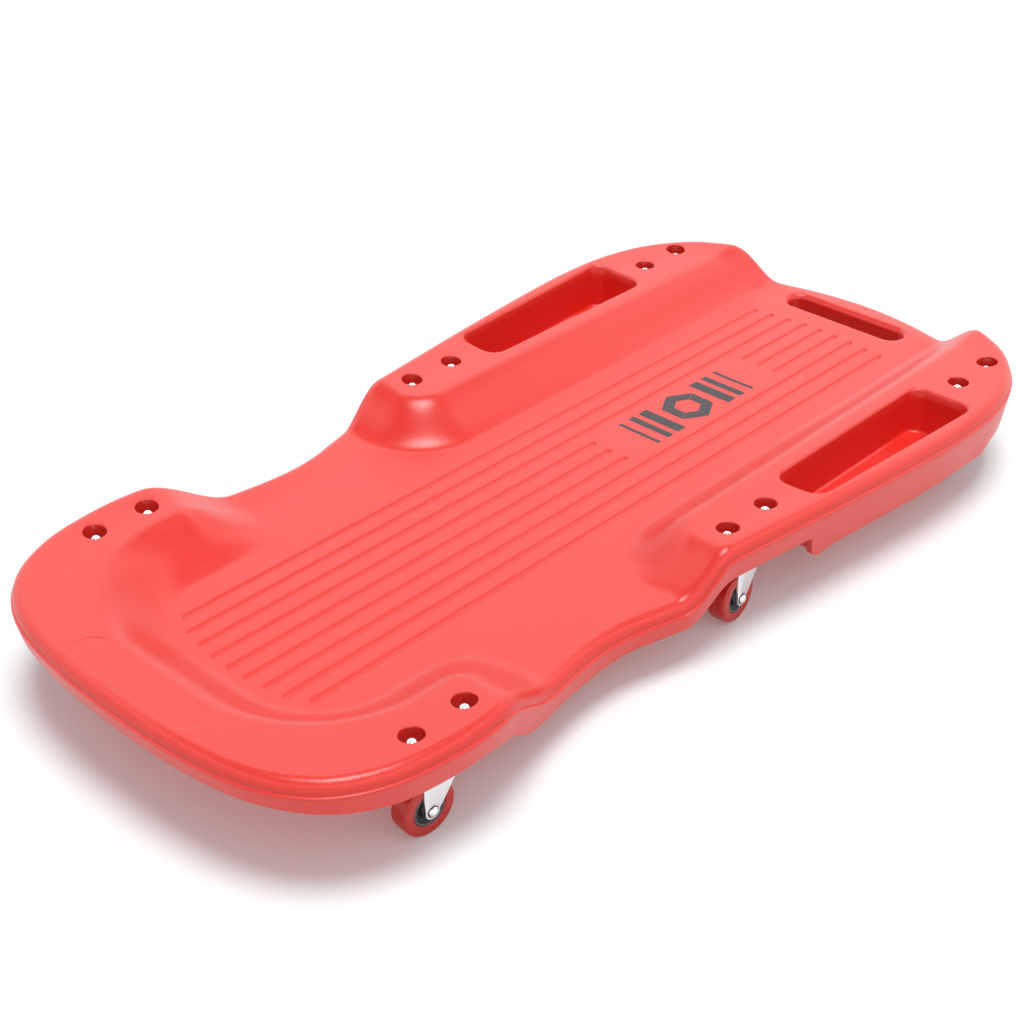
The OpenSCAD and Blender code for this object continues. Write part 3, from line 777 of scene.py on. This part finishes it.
def leg_mesh(side, trail, z_axle, fork_z):
    """A pressed leg: straight leading edge with a narrow folded band, rounded bottom, sloping trailing edge."""
    top = fork_z + STEEL
    lead = -trail - LEG_R
    reach = LEG_TOP + trail - LEG_BACK_R
    rows = []
    for z in np.linspace(top, z_axle, 9):
        rows.append((z, lead, -trail + LEG_BACK_R + reach * ((z - z_axle) / (top - z_axle)) ** 0.92))
    for a in np.radians(np.linspace(12, 88, 9)):
        w = LEG_R * math.cos(a)
        rows.append((z_axle - LEG_R * math.sin(a), -trail - w, -trail + w * 0.96))
    v, f = [], []
    for layer in (0, 1):
        for z, y0, y1 in rows:
            for c in LEG_COLS:
                y = y0 + (y1 - y0) * c
                fold = FOLD * (1 - ease(lead + FOLD_Y0, lead + FOLD_Y1, y))
                fold *= ease(z_axle + FOLD_Z0, z_axle + FOLD_Z1, z)
                v.append((side * (LEG_OUT - float(fold) - layer * STEEL), y, z))
    n, m = len(rows), len(LEG_COLS)
    off = n * m
    for i in range(n - 1):
        for k in range(m - 1):
            a = i * m + k
            q = (a, a + m, a + m + 1, a + 1)
            f.append(q)
            f.append(tuple(x + off for x in q[::-1]))
    rim = (list(range(m)) + [i * m + m - 1 for i in range(1, n)]
           + [(n - 1) * m + k for k in range(m - 2, -1, -1)] + [i * m for i in range(n - 2, 0, -1)])
    for i, a in enumerate(rim):
        b = rim[(i + 1) % len(rim)]
        f.append((a, b, b + off, a + off))
    return v, f


def join(*parts):
    """Several (vertices, faces) pairs as one."""
    v, f = [], []
    for pv, pf in parts:
        s = len(v)
        v += [tuple(p) for p in pv]
        f += [tuple(i + s for i in q) for q in pf]
    return v, f


def outward(o):
    """Turns a closed piece's faces to face out."""
    bm = bmesh.new()
    bm.from_mesh(o.data)
    bmesh.ops.recalc_face_normals(bm, faces=bm.faces)
    bm.to_mesh(o.data)
    bm.free()
    return o


def along_axle(part, trail):
    """A piece turned about X at the origin, moved to the axle."""
    v, f = part
    return [(x, y - trail, z) for x, y, z in v], f


for name in CASTERS:
    pivot, spin = SWIVEL[name]["pos_m"], SPIN[name]
    c = (pivot[0] * MM, pivot[1] * MM)
    axle = np.array(spin["pos_m"]) * MM
    trail = math.hypot(axle[0] - c[0], axle[1] - c[1])
    yaw = math.atan2(spin["axis"][1], spin["axis"][0])
    fork_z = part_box(name + "_fork")[1].z * MM - STEEL * 2

    def put(piece, part, mat, body, replaces, z=0.0):
        v, f = part
        o = mesh(f"{name}_{piece}", placed(v, c, yaw, z), f, mat, f"{name}_{body}", replaces)
        return outward(o)

    def on_axle(piece, part, mat, body, replaces):
        return put(piece, along_axle(part, trail), mat, body, replaces, axle[2])

    on_axle("tyre_skin", lathe(TYRE, 96, "x"), MAT["tyre_red"], "wheel", [name + "_tyre"])
    on_axle("hub_disc", lathe(HUB, 72, "x"), MAT["hub_black"], "wheel", [name + "_hub"])
    on_axle("hub_lip", lathe(LIP, 72, "x"), MAT["hub_lip"], "wheel", None)
    crown = lathe([(r, h + fork_z) for r, h in CROWN], 72)
    web_pts = [(-LEG_OUT, -trail - LEG_R), (LEG_OUT, -trail - LEG_R), (LEG_OUT, WEB_BACK), (-LEG_OUT, WEB_BACK)]
    web = ([(x, y, fork_z + STEEL) for x, y in web_pts] + [(x, y, fork_z) for x, y in web_pts],
           [(0, 1, 2, 3), (7, 6, 5, 4), (0, 4, 5, 1), (1, 5, 6, 2), (2, 6, 7, 3), (3, 7, 4, 0)])
    legs = [leg_mesh(sd, trail, axle[2], fork_z) for sd in (-1, 1)]
    fork = put("fork_press", join(crown, web, *legs), MAT["zinc"], "swivel", [name + "_fork"])
    bevelled(fork, 0.45)
    head = lathe([(r, LEG_OUT + HEAD_GAP + h) for r, h in DOME], 40, "x")
    thread = [(SHANK_R - (THREAD if k % 2 else 0), -LEG_OUT - THREAD_PITCH * k) for k in range(13)]
    shank = lathe([(SHANK_R, LEG_OUT + HEAD_GAP)] + thread
                  + [(2.3, -LEG_OUT - THREAD_END), (0, -LEG_OUT - THREAD_END)], 32, "x")
    on_axle("axle_bolt", join(head, shank), MAT["bolt_zinc"], "swivel", [name + "_axle"])
    # A thin dark ring under the bolt head: painted shade, not a real part
    ring = lathe([(r, LEG_OUT + h) for r, h in SHADE_RING], 40, "x")
    on_axle("axle_ring", ring, MAT["gasket"], "swivel", None)

# Cap nuts on their washers, standing in the recesses
parts = []
nut_lo, nut_hi = (v.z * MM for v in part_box("deck_nuts"))
CAP_R, DOME_R, HEX_R, HEX_H = 4.7, 6.2, 5.77, 5.0
nut_h = nut_hi - nut_lo
rim_angle = math.degrees(math.acos(CAP_R / DOME_R))
cap = ([(HEX_R * 0.9, HEX_H - 0.1), (CAP_R + 0.3, HEX_H + 0.1), (CAP_R - 0.1, HEX_H + 0.5)]
       + arc_profile(0, nut_h - DOME_R, DOME_R, rim_angle + 3, 88, 9) + [(0, nut_h)])
for bx, by in bolt_places():
    v, f = lathe(cap, 36)
    hexagon = [(HEX_R * math.cos(math.radians(a)), HEX_R * math.sin(math.radians(a)))
               for a in range(0, 360, 60)]
    inner = [(0.93 * x, 0.93 * y) for x, y in hexagon]
    layers = ((inner, 0), (hexagon, 0.4), (hexagon, HEX_H - 0.45), (inner, HEX_H))
    hv = [(x, y, z) for corners, z in layers for x, y in corners]
    hf = [tuple(range(5, -1, -1)), tuple(range(18, 24))]
    for k in range(3):
        hf += [(6 * k + i, 6 * k + (i + 1) % 6, 6 * k + 6 + (i + 1) % 6, 6 * k + 6 + i) for i in range(6)]
    pv, pf = join((v, f), (hv, hf))
    parts.append(([(x + bx, y + by, h + nut_lo) for x, y, h in pv], pf))
v, f = join(*parts)
caps = outward(mesh("deck_cap_nuts", v, f, MAT["bolt_zinc"], "root", ["deck_nuts"]))
caps.data.set_sharp_from_angle(angle=math.radians(40))

# CAD nodes that are shown as they are take the finish of their own slot
SLOT_OF = {r["node"]: r["material_slot"] for r in frame["record"]["subparts"]}
for name, o in frame["nodes"].items():
    o.data.materials.clear()
    o.data.materials.append(MAT[SLOT_OF[name]])

# ---------------------------------------------------------------- stage

# The floor is tinted against the deck's red bounce, and glows a little so that it renders white
bpy.ops.mesh.primitive_plane_add(size=40, location=(0, 0, 0))
floor = bpy.context.object
floor.name = "floor"
white = material("floor_white", (0.79, 0.86, 0.86), 0.9, bump=0.02, scale=40, vary=0.004, rough_vary=0.02)
floor.data.materials.append(white)
glow = white.node_tree.nodes["Principled BSDF"]
glow.inputs["Specular IOR Level"].default_value = 0.0
glow.inputs["Emission Color"].default_value = (1, 1, 1, 1)
glow.inputs["Emission Strength"].default_value = 0.12

# The world: a plain fill, a brighter band that only reflections see, and white to the camera
FILL = 0.40
SKY = ((0.0, 1.5), (0.56, 1.6), (0.62, 3.2), (0.70, 3.2), (0.79, 0.35), (1.0, 0.35))
world = bpy.data.worlds.new("studio")
bpy.context.scene.world = world
world.use_nodes = True
wn, wlink = world.node_tree.nodes, world.node_tree.links.new
back = wn["Background"]
back.inputs["Color"].default_value = (1, 1, 1, 1)
path = wn.new("ShaderNodeLightPath")
where = wn.new("ShaderNodeTexCoord")
split = wn.new("ShaderNodeSeparateXYZ")
wlink(where.outputs["Generated"], split.inputs["Vector"])
sky = wn.new("ShaderNodeValToRGB")
for at, value in SKY[2:]:
    sky.color_ramp.elements.new(at)
for stop, (at, value) in zip(sky.color_ramp.elements, SKY):
    stop.position = at
    stop.color = (value, value, value, 1)
wlink(split.outputs["Z"], sky.inputs["Fac"])
level = wn.new("ShaderNodeMapRange")
level.inputs["To Min"].default_value = FILL
wlink(sky.outputs["Color"], level.inputs["To Max"])
wlink(path.outputs["Is Glossy Ray"], level.inputs["Value"])
seen = wn.new("ShaderNodeMath")
seen.operation = "MAXIMUM"
wlink(level.outputs["Result"], seen.inputs[0])
wlink(path.outputs["Is Camera Ray"], seen.inputs[1])
wlink(seen.outputs["Value"], back.inputs["Strength"])


def soft_sun(name, toward, spread, strength):
    """A broad light with its spread in degrees; toward is the direction it comes from."""
    d = bpy.data.lights.new(name, "SUN")
    d.angle = math.radians(spread)
    d.energy = strength
    o = bpy.data.objects.new(name, d)
    bpy.context.scene.collection.objects.link(o)
    o.location = Vector(toward) * 3
    o.rotation_mode = "QUATERNION"
    o.rotation_quaternion = (-Vector(toward)).to_track_quat("-Z", "Y")


soft_sun("overhead", (0.04, 0.04, 1.0), 24, 2.05)
soft_sun("side", (0.75, -0.1, 0.62), 70, 0.42)

cam_data = bpy.data.cameras.new("camera")
cam = bpy.data.objects.new("camera", cam_data)
bpy.context.scene.collection.objects.link(cam)
cam_data.lens = 60.6
cam_data.sensor_width = 36
cam.location = (0.8989, -1.0233, 0.8985)
LOOK_AT = Vector((0.35067, -0.44140, 0.38528))
cam.rotation_mode = "QUATERNION"
cam.rotation_quaternion = (LOOK_AT - cam.location).to_track_quat("-Z", "Y")
cam_data.dof.use_dof = False
bpy.context.scene.camera = cam
bpy.context.scene.view_settings.view_transform = "Standard"
